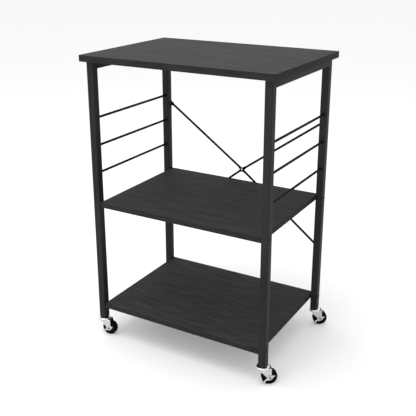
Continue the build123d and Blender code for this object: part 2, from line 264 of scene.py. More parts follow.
def feed(tree, target, value):
    """Links a field or a socket to an input, or sets a plain value on it."""
    if isinstance(value, Field):
        tree.links.new(value.socket, target)
    elif isinstance(value, bpy.types.NodeSocket):
        tree.links.new(value, target)
    else:
        target.default_value = value


def add(tree, kind, inputs=None, **settings):
    """Adds a node with its settings, and with values or links on its named inputs."""
    made = tree.nodes.new(kind)
    for key, value in settings.items():
        setattr(made, key, value)
    for socket, value in (inputs or {}).items():
        feed(tree, made.inputs[socket], value)
    return made


def new_shape_tree(name, size_names):
    """A geometry tree with one named input for each size, the geometry it starts from and a material."""
    tree = bpy.data.node_groups.new(name, "GeometryNodeTree")
    tree.interface.new_socket("Geometry", in_out="INPUT", socket_type="NodeSocketGeometry")
    tree.interface.new_socket("Material", in_out="INPUT", socket_type="NodeSocketMaterial")
    for size_name in size_names:
        tree.interface.new_socket(size_name, in_out="INPUT", socket_type="NodeSocketFloat")
    tree.interface.new_socket("Geometry", in_out="OUTPUT", socket_type="NodeSocketGeometry")
    given = tree.nodes.new("NodeGroupInput")
    sizes = {size_name: Field(tree, given.outputs[size_name]) for size_name in size_names}
    return tree, given, sizes


def end_shape_tree(tree, given, geometry):
    """Ends a tree in plain geometry with its material."""
    plain = add(tree, "GeometryNodeRealizeInstances", {"Geometry": geometry})
    coated = add(tree, "GeometryNodeSetMaterial", {
        "Geometry": plain.outputs[0], "Material": given.outputs["Material"]})
    add(tree, "NodeGroupOutput", {"Geometry": coated.outputs[0]})
    return tree


def grow(tree, material, sizes, start):
    """Runs a tree on a starting mesh and returns its result as a plain mesh."""
    carrier = bpy.data.objects.new("carrier", start)
    bpy.context.scene.collection.objects.link(carrier)
    shape = carrier.modifiers.new("shape", "NODES")
    shape.node_group = tree
    values = {"Material": material, **sizes}
    for item in tree.interface.items_tree:
        if item.in_out == "INPUT" and item.name in values:
            shape[item.identifier] = values[item.name]
    bpy.context.view_layer.update()
    shaped = carrier.evaluated_get(bpy.context.evaluated_depsgraph_get())
    mesh = bpy.data.meshes.new_from_object(shaped)
    bpy.data.objects.remove(carrier)
    return mesh


# Meshes
def middle(node):
    low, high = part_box(node)
    return (low + high) / 2


def new_mesh(name, points, edges=(), faces=()):
    mesh = bpy.data.meshes.new(name)
    mesh.from_pydata(points, edges, faces)
    return mesh


def smooth(mesh, crease_degrees=32):
    """Smooth shading that keeps edges sharper than the crease angle."""
    mesh.polygons.foreach_set("use_smooth", [True] * len(mesh.polygons))
    mesh.set_sharp_from_angle(angle=math.radians(crease_degrees))
    return mesh


def facing_points(name, places):
    """A mesh of loose points, each with the direction that its copy faces."""
    mesh = new_mesh(name, [place for place, facing in places])
    facing_attribute = mesh.attributes.new("facing", "FLOAT_VECTOR", "POINT")
    for entry, (place, facing) in zip(facing_attribute.data, places):
        entry.vector = facing
    return mesh


def turned(name, profile):
    """A ring: a closed profile of (radius, height) points turned round Z."""
    shape = bmesh.new()
    rings = []
    for radius, height in profile:
        turns = [2 * math.pi * step / TURN_STEPS for step in range(TURN_STEPS)]
        rings.append([shape.verts.new((radius * math.cos(t), radius * math.sin(t), height)) for t in turns])
    for ring, next_ring in zip(rings, rings[1:] + rings[:1]):
        for step in range(TURN_STEPS):
            after = (step + 1) % TURN_STEPS
            shape.faces.new((ring[step], ring[after], next_ring[after], next_ring[step]))
    bmesh.ops.remove_doubles(shape, verts=shape.verts, dist=SAME_PLACE)
    bmesh.ops.recalc_face_normals(shape, faces=shape.faces)
    mesh = bpy.data.meshes.new(name)
    shape.to_mesh(mesh)
    shape.free()
    return smooth(mesh)


def arc(centre, radius, start_degrees, stop_degrees, steps=6):
    """Points along an arc, from start to stop."""
    points = []
    for step in range(steps + 1):
        angle = math.radians(start_degrees + (stop_degrees - start_degrees) * step / steps)
        points.append((centre[0] + radius * math.cos(angle), centre[1] + radius * math.sin(angle)))
    return points


def pressed_sheet(name, rows, thickness, edge_round):
    """A closed sheet-metal piece: rows of points on its middle surface, with a thickness and round edges."""
    columns = len(rows[0])
    points = [point for row in rows for point in row]
    faces = []
    for row in range(len(rows) - 1):
        for column in range(columns - 1):
            first = row * columns + column
            faces.append((first, first + 1, first + 1 + columns, first + columns))
    carrier = bpy.data.objects.new(name, new_mesh(name, points, faces=faces))
    bpy.context.scene.collection.objects.link(carrier)
    wall = carrier.modifiers.new("wall", "SOLIDIFY")
    wall.thickness = thickness
    wall.offset = 0
    wall.use_even_offset = True
    rounding = carrier.modifiers.new("rounding", "BEVEL")
    rounding.width = edge_round
    rounding.segments = 2
    rounding.limit_method = "ANGLE"
    rounding.angle_limit = BENT_EDGE
    bpy.context.view_layer.update()
    shaped = carrier.evaluated_get(bpy.context.evaluated_depsgraph_get())
    mesh = bpy.data.meshes.new_from_object(shaped)
    bpy.data.objects.remove(carrier)
    return smooth(merged(mesh))


def merged(mesh):
    """The mesh with doubled points made one."""
    shape = bmesh.new()
    shape.from_mesh(mesh)
    bmesh.ops.remove_doubles(shape, verts=shape.verts, dist=SAME_PLACE)
    shape.to_mesh(mesh)
    shape.free()
    return mesh


def joined(name, meshes):
    """Several meshes as one."""
    shape = bmesh.new()
    for mesh in meshes:
        shape.from_mesh(mesh)
    result = bpy.data.meshes.new(name)
    shape.to_mesh(result)
    shape.free()
    return result


def show(name, mesh, material, body, slot, *replaced):
    """Adds a finished piece that rides on a body and stands for the named CAD nodes."""
    mesh.materials.clear()
    mesh.materials.append(material)
    made = bpy.data.objects.new(name, mesh)
    bpy.context.scene.collection.objects.link(made)
    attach(made, body)
    if replaced:
        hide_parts(*replaced)
    return made


def coat(material, *names):
    """Gives CAD nodes a finish."""
    for name in names:
        for slot in nodes[name].material_slots:
            slot.material = material


# Materials
def new_material(name, roughness, metallic=0.0, specular=0.5):
    material = bpy.data.materials.new(name)
    material.use_nodes = True
    shader = material.node_tree.nodes["Principled BSDF"]
    shader.inputs["Roughness"].default_value = roughness
    shader.inputs["Metallic"].default_value = metallic
    shader.inputs["Specular IOR Level"].default_value = specular
    return material, material.node_tree, shader


def noise(tree, vector, scale=1.0, detail=3.0, roughness=0.55):
    made = add(tree, "ShaderNodeTexNoise", {
        "Vector": vector, "Detail": detail, "Roughness": roughness, "Scale": scale})
    return Field(tree, made.outputs["Fac"])


def stretched(tree, vector, scale):
    """Coordinates scaled along each axis, so that a pattern is drawn out along the grain."""
    return add(tree, "ShaderNodeMapping", {"Vector": vector, "Scale": scale}).outputs["Vector"]


def object_place(tree):
    return tree.nodes.new("ShaderNodeTexCoord").outputs["Object"]


def tint(tree, shader, share, dark, light):
    """Colours a surface between a dark and a light grey or tone by a share from 0 to 1."""
    mix = add(tree, "ShaderNodeMix", {"Factor": share}, data_type="RGBA")
    mix.inputs["A"].default_value = (*dark, 1)
    mix.inputs["B"].default_value = (*light, 1)
    tree.links.new(mix.outputs["Result"], shader.inputs["Base Color"])


def emboss(tree, shader, height, depth, strength):
    bump = add(tree, "ShaderNodeBump", {"Height": height, "Distance": depth, "Strength": strength})
    tree.links.new(bump.outputs["Normal"], shader.inputs["Normal"])


def wood_grain(tree, shader, place, dark, light):
    """Fine charcoal wood print: faint bands, short streaks and pores along the place's X."""
    bands = noise(tree, stretched(tree, place, BANDS))
    streaks = noise(tree, stretched(tree, place, STREAKS), detail=4.0, roughness=0.6)
    pores = noise(tree, stretched(tree, place, PORES), detail=2.0)
    pore_marks = pores.rising(0.58, 0.7)
    share = bands.rising(0.3, 0.7) * 0.35 + streaks.rising(0.25, 0.75) * 0.55 + 0.05
    share = share - pore_marks * 0.45
    tint(tree, shader, share, dark, light)
    feed(tree, shader.inputs["Roughness"], streaks * 0.16 + 0.6)
    emboss(tree, shader, streaks * 0.4 - pore_marks, PORE_DEPTH, strength=0.5)


def charcoal_laminate():
    material, tree, shader = new_material("charcoal_laminate", 0.65, specular=0.11)
    wood_grain(tree, shader, object_place(tree), *LAMINATE_TONES)
    return material


def charcoal_edge_strip():
    """The same print on the edge strips, whose grain runs along each edge."""
    material, tree, shader = new_material("charcoal_edge_strip", 0.65, specular=0.1)
    coordinates = tree.nodes.new("ShaderNodeTexCoord")
    parts = add(tree, "ShaderNodeSeparateXYZ", {"Vector": coordinates.outputs["Object"]})
    swapped = add(tree, "ShaderNodeCombineXYZ", {
        "X": parts.outputs["Y"], "Y": parts.outputs["X"], "Z": parts.outputs["Z"]})
    normal = add(tree, "ShaderNodeSeparateXYZ", {"Vector": coordinates.outputs["Normal"]})
    at_end = Field(tree, normal.outputs["X"]).size().math("GREATER_THAN", 0.7)
    place = add(tree, "ShaderNodeMix", {"Factor": at_end}, data_type="VECTOR")
    tree.links.new(coordinates.outputs["Object"], place.inputs["A"])
    tree.links.new(swapped.outputs["Vector"], place.inputs["B"])
    wood_grain(tree, shader, place.outputs["Result"], *STRIP_TONES)
    return material


def black_powder_coat(name, dark, light, sheen):
    """Satin black coat with a fine orange-peel texture and faint cloudiness."""
    material, tree, shader = new_material(name, 0.5, specular=sheen)
    place = object_place(tree)
    peel = noise(tree, place, PEEL, detail=2.0)
    clouds = noise(tree, stretched(tree, place, CLOUDS))
    tint(tree, shader, clouds.rising(0.3, 0.7), (dark,) * 3, (light,) * 3)
    feed(tree, shader.inputs["Roughness"], clouds * 0.12 + peel * 0.1 + 0.4)
    emboss(tree, shader, peel, PEEL_DEPTH, strength=0.6)
    return material


def black_fastener():
    """Black oxide on bolt heads, with faint tool marks."""
    material, tree, shader = new_material("black_fastener", 0.35, specular=0.5)
    marks = noise(tree, stretched(tree, object_place(tree), TOOL_MARKS), detail=4.0)
    tint(tree, shader, marks, *OXIDE_TONES)
    feed(tree, shader.inputs["Roughness"], marks * 0.25 + 0.25)
    emboss(tree, shader, marks, TOOL_MARK_DEPTH, strength=0.5)
    return material


def bright_plate(name, dull, bright, roughness, shade_line=NO_SHADE_LINE):
    """Bright plating over pressed steel: soft ripples, faint smudges and hairline scratches.

    Above the line given, a height over the floor, the plating is darkened and made rougher, with a wandering
    edge: painted shade on the fork's crown.
    """
    material, tree, shader = new_material(name, roughness, metallic=1.0)
    place = object_place(tree)
    smudges = noise(tree, place, SMUDGES)
    scratches = noise(tree, stretched(tree, place, SCRATCHES))
    height = Field(tree, add(tree, "ShaderNodeSeparateXYZ", {"Vector": place}).outputs["Z"])
    # Painted shade: darkens the plating above the given height, with a wandering edge
    painted_shade = (height + smudges * SHADE_WANDER).rising(shade_line, shade_line + SHADE_FADE)
    plating = add(tree, "ShaderNodeMix", {"Factor": smudges}, data_type="RGBA")
    plating.inputs["A"].default_value = (dull, dull, dull * 1.015, 1)
    plating.inputs["B"].default_value = (bright, bright, bright * 1.01, 1)
    shaded_plating = add(tree, "ShaderNodeMix", {"Factor": painted_shade}, data_type="RGBA")
    tree.links.new(plating.outputs["Result"], shaded_plating.inputs["A"])
    shaded_plating.inputs["B"].default_value = (*SHADE_TONE, 1)
    tree.links.new(shaded_plating.outputs["Result"], shader.inputs["Base Color"])
    wear = smudges * 0.8 + scratches * 0.6 + 0.3
    feed(tree, shader.inputs["Roughness"], wear * roughness + painted_shade * 0.2)
    emboss(tree, shader, noise(tree, place, RIPPLES, detail=1.0), RIPPLE_DEPTH, strength=0.35)
    return material


def zinc_steel():
    """Zinc plate with its mottled spangle."""
    material, tree, shader = new_material("zinc_steel", 0.35, metallic=1.0)
    place = object_place(tree)
    spangle = add(tree, "ShaderNodeTexVoronoi", {"Vector": place, "Scale": SPANGLE})
    share = Field(tree, spangle.outputs["Distance"]).rising(0.1, 0.8)
    tint(tree, shader, share, *ZINC_TONES)
    feed(tree, shader.inputs["Roughness"], share * 0.2 + noise(tree, place, ZINC_BLOOM) * 0.15 + 0.2)
    emboss(tree, shader, share, SPANGLE_DEPTH, strength=0.4)
    return material


def moulded_black(name, base, roughness, sheen, grain, depth):
    """Moulded plastic or rubber: near black with a fine moulded grain and faint flow marks."""
    material, tree, shader = new_material(name, roughness, specular=sheen)
    place = object_place(tree)
    grains = noise(tree, place, grain, detail=2.0)
    flow = noise(tree, place, FLOW_MARKS, detail=4.0, roughness=0.6)
    tint(tree, shader, flow.rising(0.3, 0.7), (base * 0.7,) * 3, (base * 1.5,) * 3)
    feed(tree, shader.inputs["Roughness"], grains * 0.12 + flow * 0.12 + (roughness - 0.12))
    emboss(tree, shader, grains, depth, strength=0.6)
    return material


# Boards and frame
def edge_strip_tree():
    """A strip swept round a board: a path with round corners and a section with a small arris."""
    size_names = ("Length", "Depth", "Height", "Strip", "Corner", "Arris")
    tree, given, size = new_shape_tree("edge_strip", size_names)
    oblong = add(tree, "GeometryNodeCurvePrimitiveQuadrilateral", {
        "Width": size["Length"] - size["Strip"], "Height": size["Depth"] - size["Strip"]})
    path = add(tree, "GeometryNodeFilletCurve", {
        "Curve": oblong.outputs[0], "Radius": size["Corner"] - size["Strip"] * 0.5, "Count": CORNER_STEPS,
    }, mode="POLY")
    thin = add(tree, "GeometryNodeCurvePrimitiveQuadrilateral", {
        "Width": size["Strip"], "Height": size["Height"]})
    section = add(tree, "GeometryNodeFilletCurve", {
        "Curve": thin.outputs[0], "Radius": size["Arris"], "Count": ARRIS_STEPS}, mode="POLY")
    upright = add(tree, "GeometryNodeSetCurveNormal", {"Curve": path.outputs[0]}, mode="Z_UP")
    swept = add(tree, "GeometryNodeCurveToMesh", {
        "Curve": upright.outputs[0], "Profile Curve": section.outputs[0]})
    return end_shape_tree(tree, given, swept.outputs[0])


def make_edge_strips(material):
    tree = edge_strip_tree()
    for board in BOARDS:
        low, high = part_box(board + "_edge_band")
        core_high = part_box(board)[1]
        sizes = {
            "Length": high.x - low.x,
            "Depth": high.y - low.y,
            "Height": high.z - low.z,
            "Strip": high.x - core_high.x,
            "Corner": BOARD_CORNER,
            "Arris": STRIP_ARRIS,
        }
        mesh = grow(tree, material, sizes, new_mesh("start", []))
        mesh.transform(Matrix.Translation((low + high) / 2))
        show(board + "_edge_strip", smooth(mesh), material, "frame", "edge_band", board + "_edge_band")


def copies_tree(name, size_names, make_copy):
    """Copies of one shape on points, each turned from +Z to the point's facing direction."""
    tree, given, size = new_shape_tree(name, size_names)
    facing = add(tree, "GeometryNodeInputNamedAttribute", {"Name": "facing"}, data_type="FLOAT_VECTOR")
    turn = add(tree, "FunctionNodeAlignRotationToVector", {"Vector": facing.outputs["Attribute"]}, axis="Z")
    copies = add(tree, "GeometryNodeInstanceOnPoints", {
        "Points": given.outputs["Geometry"],
        "Instance": make_copy(tree, size),
        "Rotation": turn.outputs["Rotation"],
    })
    return end_shape_tree(tree, given, copies.outputs[0])


def button_bolt(tree, size):
    """A button-head bolt: a domed head with a hexagon key hole, on a plain shank below zero."""
    top = add(tree, "ShaderNodeCombineXYZ", {"Z": size["Head Height"]}).outputs[0]
    axis = add(tree, "GeometryNodeCurvePrimitiveLine", {"End": top})
    stations = add(tree, "GeometryNodeResampleCurve", {"Curve": axis.outputs[0], "Count": DOME_STATIONS})
    rise = Field(tree, add(tree, "GeometryNodeSplineParameter").outputs["Factor"])
    dome = (rise.math("POWER", DOME_POWER) * -DOME_FALL + 1.0).math("SQRT")
    round_section = add(tree, "GeometryNodeCurvePrimitiveCircle", {"Resolution": HEAD_SIDES, "Radius": 1.0})
    head = add(tree, "GeometryNodeCurveToMesh", {
        "Curve": stations.outputs[0],
        "Profile Curve": round_section.outputs[0],
        "Scale": dome * size["Head Diameter"] * 0.5,
        "Fill Caps": True,
    })
    shank = add(tree, "GeometryNodeMeshCylinder", {
        "Vertices": SHANK_SIDES,
        "Radius": size["Shank Diameter"] * 0.5,
        "Depth": size["Shank Length"] + size["Head Height"] * SHANK_OVERLAP,
    })
    drop = add(tree, "ShaderNodeCombineXYZ", {
        "Z": size["Shank Length"] * -0.5 + size["Head Height"] * (SHANK_OVERLAP / 2)})
    placed = add(tree, "GeometryNodeTransform", {
        "Geometry": shank.outputs[0], "Translation": drop.outputs[0]})
    bolt = add(tree, "GeometryNodeMeshBoolean", operation="UNION", solver="EXACT")
    tree.links.new(head.outputs[0], bolt.inputs["Mesh 2"])
    tree.links.new(placed.outputs[0], bolt.inputs["Mesh 2"])
    key = add(tree, "GeometryNodeMeshCylinder", {
        "Vertices": KEY_SIDES, "Radius": size["Key Width"] * KEY_CORNER, "Depth": size["Key Depth"] * 2.0})
    key_cut = add(tree, "GeometryNodeTransform", {"Geometry": key.outputs[0], "Translation": top})
    cut = add(tree, "GeometryNodeMeshBoolean", {"Mesh 1": bolt.outputs[0]}, operation="DIFFERENCE",
              solver="EXACT")
    tree.links.new(key_cut.outputs[0], cut.inputs["Mesh 2"])
    return cut.outputs[0]


def make_bolts(material, bright):
    """Domed bolts and screws with key holes, seated as the plain ones that they stand for."""
    size_names = ("Head Diameter", "Head Height", "Key Width", "Key Depth", "Shank Diameter", "Shank Length")
    tree = copies_tree("button_bolts", size_names, button_bolt)
    groups = {
        "middle_shelf_bolts": (SHELF_BOLT, shelf_bolt_places("middle_shelf_bolts")),
        "bottom_shelf_bolts": (SHELF_BOLT, shelf_bolt_places("bottom_shelf_bolts")),
        "brace_end_bolts": (BRACE_BOLT, brace_bolt_places()),
        "brace_centre_bolt": (CENTRE_BOLT, centre_bolt_place()),
        "top_board_screws": (TOP_SCREW, top_screw_places()),
    }
    for node, (sizes, (places, length)) in groups.items():
        finish, slot = (bright, "zinc_steel") if node == "brace_centre_bolt" else (material, "black_fastener")
        values = dict(zip(size_names, (*sizes, length)))
        mesh = grow(tree, finish, values, facing_points("seats", places))
        name = node.replace("bolt", "button_bolt").replace("screw", "button_screw")
        show(name, smooth(mesh), finish, "frame", slot, node)


def leg_middles():
    return [middle(corner + "_leg") for corner in CORNERS]


def shelf_bolt_places(node):
    """Seats on the legs' outer faces, and the shank's length from there to the node's inner end."""
    low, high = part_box(node)
    seat = high.x - SHELF_BOLT[1]
    height = (low.z + high.z) / 2
    places = []
    for leg in leg_middles():
        side = math.copysign(1, leg.x)
        places.append(((side * seat, leg.y, height), (side, 0, 0)))
    inner_end = min(abs(vertex.co.x) for vertex in nodes[node].data.vertices)
    return places, seat - inner_end


def brace_bolt_places():
    low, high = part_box("brace_end_bolts")
    head_diameter, head_height = BRACE_BOLT[:2]
    seat = high.y - head_height
    heights = (low.z + head_diameter / 2, high.z - head_diameter / 2)
    reach = high.x - head_diameter / 2
    places = [((x, seat, z), (0, 1, 0)) for x in (-reach, reach) for z in heights]
    return places, seat - low.y


def centre_bolt_place():
    low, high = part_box("brace_centre_bolt")
    seat = low.y + CENTRE_BOLT[1]
    centre = (low + high) / 2
    return [((centre.x, seat, centre.z), (0, -1, 0))], high.y - seat


def top_screw_places():
    low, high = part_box("top_board_screws")
    head_diameter, head_height = TOP_SCREW[:2]
    seat = low.z + head_height
    reach = high.x - head_diameter / 2
    spread = high.y - head_diameter / 2
    places = [((x, y, seat), (0, 0, -1)) for x in (-reach, reach) for y in (-spread, spread)]
    return places, high.z - seat


def collar(tree, size):
    """A domed ring with a flat seat: a half-round section swept round a circle."""
    half_wall = (size["Radius"] - size["Bore"]) * 0.5
    path = add(tree, "GeometryNodeCurvePrimitiveCircle", {
        "Resolution": COLLAR_SIDES, "Radius": size["Bore"] + half_wall})
    level = add(tree, "GeometryNodeSetCurveNormal", {"Curve": path.outputs[0]}, mode="Z_UP")
    full = add(tree, "GeometryNodeCurvePrimitiveCircle", {"Resolution": COLLAR_DOME_STEPS, "Radius": 1.0})
    place = add(tree, "ShaderNodeSeparateXYZ", {"Vector": add(tree, "GeometryNodeInputPosition").outputs[0]})
    over, up = Field(tree, place.outputs["X"]), Field(tree, place.outputs["Y"])
    flattened = add(tree, "ShaderNodeCombineXYZ", {
        "X": over * half_wall, "Y": up.at_most(0.0) * size["Height"]})
    section = add(tree, "GeometryNodeSetPosition", {
        "Geometry": full.outputs[0], "Position": flattened.outputs[0]})
    return add(tree, "GeometryNodeCurveToMesh", {
        "Curve": level.outputs[0], "Profile Curve": section.outputs[0]}).outputs[0]


def make_rod_collars(material):
    tree = copies_tree("domed_collars", ("Bore", "Radius", "Height"), collar)
    leg_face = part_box("rear_left_leg")[0].y
    places = []
    for rod in RODS:
        centre = middle(rod)
        places.append(((centre.x, leg_face, centre.z), (0, -1, 0)))
        places.append(((centre.x, -leg_face, centre.z), (0, 1, 0)))
    sizes = {"Bore": COLLAR_BORE, "Radius": COLLAR_RADIUS, "Height": COLLAR_HEIGHT}
    mesh = grow(tree, material, sizes, facing_points("rod_ends", places))
    show("domed_rod_collars", smooth(mesh), material, "frame", "black_plastic", "rod_collars")


def weld_bead_tree():
    """Overlapping drops of random size along edges, as a weld bead under its coat."""
    tree, given, size = new_shape_tree("weld_beads", ("Step", "Radius", "Seed"))
    seams = add(tree, "GeometryNodeMeshToCurve", {"Mesh": given.outputs["Geometry"]})
    steps = add(tree, "GeometryNodeResampleCurve", {
        "Curve": seams.outputs[0], "Length": size["Step"]}, mode="LENGTH")
    drop = add(tree, "GeometryNodeMeshIcoSphere", {
        "Radius": size["Radius"], "Subdivisions": WELD_DROP_DETAIL})
    spread = add(tree, "FunctionNodeRandomValue", {"Seed": size["Seed"]}, data_type="FLOAT")
    spread.inputs[2].default_value, spread.inputs[3].default_value = WELD_SPREAD
    drops = add(tree, "GeometryNodeInstanceOnPoints", {
        "Points": steps.outputs[0], "Instance": drop.outputs[0], "Scale": spread.outputs[1]})
    return end_shape_tree(tree, given, drops.outputs[0])


def make_weld_beads(material):
    """A bead under each end of each top rail, where it meets its leg."""
    points = []
    for side in ("left", "right"):
        low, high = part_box(side + "_top_rail")
        inset = 2 * WELD_RADIUS
        for y in (low.y, high.y):
            points.append((low.x + inset, y, low.z))
            points.append((high.x - inset, y, low.z))
    edges = [(start, start + 1) for start in range(0, len(points), 2)]
    sizes = {"Step": WELD_STEP, "Radius": WELD_RADIUS, "Seed": WELD_SEED}
    mesh = grow(weld_bead_tree(), material, sizes, new_mesh("seams", points, edges))
    show("rail_weld_beads", smooth(mesh), material, "frame", "black_powder_coat")


def brace_bar_tree():
    """A round bar with pressed flat ends and middle, bent at the middle.

    Its upper arm leads to -X and its lower arm to +X, which Direction -1 mirrors. Its end flats lie towards
    -Y, and its middle flat to the side given.
    """
    size_names = ("Span", "Upper Rise", "Lower Drop", "Diameter", "Flat Thickness", "End Flat", "End Width",
                  "Middle Flat", "Middle Width", "Blend", "Middle Side", "Direction")
    tree, given, size = new_shape_tree("brace_bar", size_names)
    upper_length = hypotenuse(size["Span"], size["Upper Rise"])
    lower_length = hypotenuse(size["Span"], size["Lower Drop"])
    end_half = size["End Width"] * 0.5
    start = add(tree, "ShaderNodeCombineXYZ", {"X": (upper_length + end_half) * -1.0})
    stop = add(tree, "ShaderNodeCombineXYZ", {"X": lower_length + end_half})
    line = add(tree, "GeometryNodeCurvePrimitiveLine", {"Start": start.outputs[0], "End": stop.outputs[0]})
    stations = add(tree, "GeometryNodeResampleCurve", {"Curve": line.outputs[0], "Count": BAR_STATIONS})
    section = add(tree, "GeometryNodeCurvePrimitiveCircle", {"Resolution": BAR_SIDES, "Radius": 1.0})
    tube = add(tree, "GeometryNodeCurveToMesh", {
        "Curve": stations.outputs[0], "Profile Curve": section.outputs[0], "Fill Caps": True})
    place = add(tree, "ShaderNodeSeparateXYZ", {"Vector": add(tree, "GeometryNodeInputPosition").outputs[0]})
    along, through, across = (Field(tree, output) for output in place.outputs)
    lower_side = along.math("GREATER_THAN", 0.0)
    arm_length = upper_length + (lower_length - upper_length) * lower_side
    fall = (size["Upper Rise"] + (size["Lower Drop"] - size["Upper Rise"]) * lower_side) / arm_length
    level = size["Span"] / arm_length
    out = along.size()
    end_share = out.rising(arm_length - size["End Flat"] - size["Blend"], arm_length - size["End Flat"])
    flat_half = size["Middle Flat"] * 0.5
    middle_share = out.rising(flat_half, flat_half + size["Blend"]) * -1.0 + 1.0
    flat_share = end_share.at_least(middle_share)
    bar_half = size["Diameter"] * 0.5
    thick_half = bar_half + (size["Flat Thickness"] * 0.5 - bar_half) * flat_share
    past_bolt = (out - arm_length).at_least(0.0) / end_half
    end_round = (past_bolt * past_bolt * -1.0 + 1.0).at_least(BAR_TIP).math("SQRT")
    middle_half = size["Middle Width"] * 0.5
    wide_half = bar_half + (end_half - bar_half) * end_share + (middle_half - bar_half) * middle_share
    sink = bar_half - size["Flat Thickness"] * 0.5
    shift = sink * size["Middle Side"] * middle_share - sink * end_share
    squareness = flat_share * -FLAT_SQUARENESS + 1.0
    over = signed_power(across, squareness) * wide_half * end_round
    moved = add(tree, "ShaderNodeCombineXYZ", {
        "X": (along * level + over * fall) * size["Direction"],
        "Y": signed_power(through, squareness) * thick_half + shift,
        "Z": over * level - along * fall,
    })
    bar = add(tree, "GeometryNodeSetPosition", {"Geometry": tube.outputs[0], "Position": moved.outputs[0]})
    return end_shape_tree(tree, given, bar.outputs[0])


def hypotenuse(one, other):
    return (one * one + other * other).math("SQRT")


def signed_power(value, power):
    """A value from -1 to 1 raised to a power with its sign kept, which squares up a round section."""
    return value.size().math("POWER", power) * value.math("SIGN")


def make_brace_bars(material):
    tree = brace_bar_tree()
    bolts_low, bolts_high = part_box("brace_end_bolts")
    head_half = BRACE_BOLT[0] / 2
    leg_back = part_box("rear_left_leg")[1].y
    crossing = middle("brace_centre_bolt")
    sizes = {
        "Span": bolts_high.x - head_half - crossing.x,
        "Upper Rise": bolts_high.z - head_half - crossing.z,
        "Lower Drop": crossing.z - bolts_low.z - head_half,
        "Diameter": BAR_DIAMETER,
        "Flat Thickness": FLAT_THICKNESS,
        "End Flat": END_FLAT,
        "End Width": END_WIDTH,
        "Middle Flat": MIDDLE_FLAT,
        "Middle Width": MIDDLE_WIDTH,
        "Blend": FLAT_BLEND,
    }
    for node, direction, middle_side in (("falling_brace", 1.0, -1.0), ("rising_brace", -1.0, 1.0)):
        values = {**sizes, "Middle Side": middle_side, "Direction": direction}
        mesh = grow(tree, material, values, new_mesh("start", []))
        if direction < 0:
            mesh.flip_normals()
        mesh.transform(Matrix.Translation((crossing.x, leg_back + BAR_DIAMETER / 2, crossing.z)))
        show(node + "_bar", smooth(mesh), material, "frame", "black_powder_coat", node)


# Casters, made round the swivel axis with the floor at zero and the wheel trailing towards +X
def caster_measures(corner):
    """The axle's place from the swivel axis, the wheel's radius and how far the caster is turned."""
    leg = middle(corner + "_leg")
    low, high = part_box(corner + "_tyre")
    centre = (low + high) / 2
    across = centre - leg
    axle = Vector((math.hypot(across.x, across.y), 0, centre.z))
    return axle, (high.z - low.z) / 2, math.atan2(across.y, across.x)


def boss_touch(axle, start, turn):
    """Where the line from a corner of the fork's side plate touches the round boss at the axle."""
    across, up = start[0] - axle.x, start[1] - axle.z
    angle = math.atan2(up, across) + turn * math.acos(PLATE_BOSS / math.hypot(across, up))
    return axle.x + PLATE_BOSS * math.cos(angle), axle.z + PLATE_BOSS * math.sin(angle)


def plate_edge(axle, start, turn, height):
    """The front or rear edge of a side plate at a height: a slope above, the boss below."""
    touch_x, touch_z = boss_touch(axle, start, turn)
    if height > touch_z:
        share = (height - touch_z) / (start[1] - touch_z)
        return touch_x + (start[0] - touch_x) * share
    half = math.sqrt(max(PLATE_BOSS ** 2 - (height - axle.z) ** 2, 0))
    return axle.x - turn * half


def fork_row(front, rear, y, z, rim_share, outward):
    """One row of points across the fork's sheet, with its edges turned outwards by the rim."""
    rim = min(RIM, (rear - front) * RIM_WIDEST_SHARE)
    inner_steps = 8
    inner = [front + rim + (rear - front - 2 * rim) * step / inner_steps for step in range(inner_steps + 1)]
    row = []
    for x in (front, front + rim / 2, *inner, rear - rim / 2, rear):
        edge_share = max(0, 1 - min(x - front, rear - x) / rim) ** 2
        row.append((x, y + outward * RIM_HEIGHT * rim_share * edge_share, z))
    return row


def fork_half(axle, outward):
    """Rows of one side plate, from the boss at the axle up to the bend and on to the crown's middle."""
    front_top = (-PLATE_LEAD, CROWN_MIDDLE)
    rear_top = (axle.x + PLATE_TAIL, CROWN_MIDDLE)
    low_steps, high_steps, bend_steps = 7, 16, 5
    heights = [axle.z - PLATE_BOSS * math.cos(math.pi / 2 * step / low_steps) for step in range(low_steps)]
    heights[0] += PLATE_LOWEST * PLATE_BOSS
    top = CROWN_MIDDLE - BEND
    heights += [axle.z + (top - axle.z) * step / high_steps for step in range(high_steps + 1)]
    rows = []
    for z in heights:
        rise = min(max((z - RIM_LOW) / (RIM_HIGH - RIM_LOW), 0), 1)
        front = plate_edge(axle, front_top, 1, z)
        rear = plate_edge(axle, rear_top, -1, z)
        rows.append(fork_row(front, rear, outward * PLATE_MIDDLE, z, rise, outward))
    for step in range(1, bend_steps + 1):
        turn = math.pi / 2 * step / bend_steps
        y = PLATE_MIDDLE - BEND + BEND * math.cos(turn)
        z = top + BEND * math.sin(turn)
        front = plate_edge(axle, front_top, 1, z)
        rear = plate_edge(axle, rear_top, -1, z)
        rows.append(fork_row(front, rear, outward * y, z, 1 - step / bend_steps, outward))
    return rows


def fork_mesh(axle):
    """Pressed fork: two side plates bent down from a crown."""
    one_side = fork_half(axle, -1)
    other_side = fork_half(axle, 1)
    return pressed_sheet("fork", one_side + other_side[::-1], SHEET, FORK_EDGE)


def ball_track_mesh():
    """Round track on the fork's crown, on which the balls run."""
    top = CROWN_MIDDLE + SHEET / 2 + CROWN_LIFT
    bottom = top - SHEET
    edge = SHEET / 2
    outer = CROWN_RADIUS - edge
    profile = [(DISH_BORE, bottom), (outer, bottom)]
    profile += arc((outer, bottom + edge), edge, -90, 90)
    profile += [(DISH_BORE, top)]
    return turned("ball_track", profile)


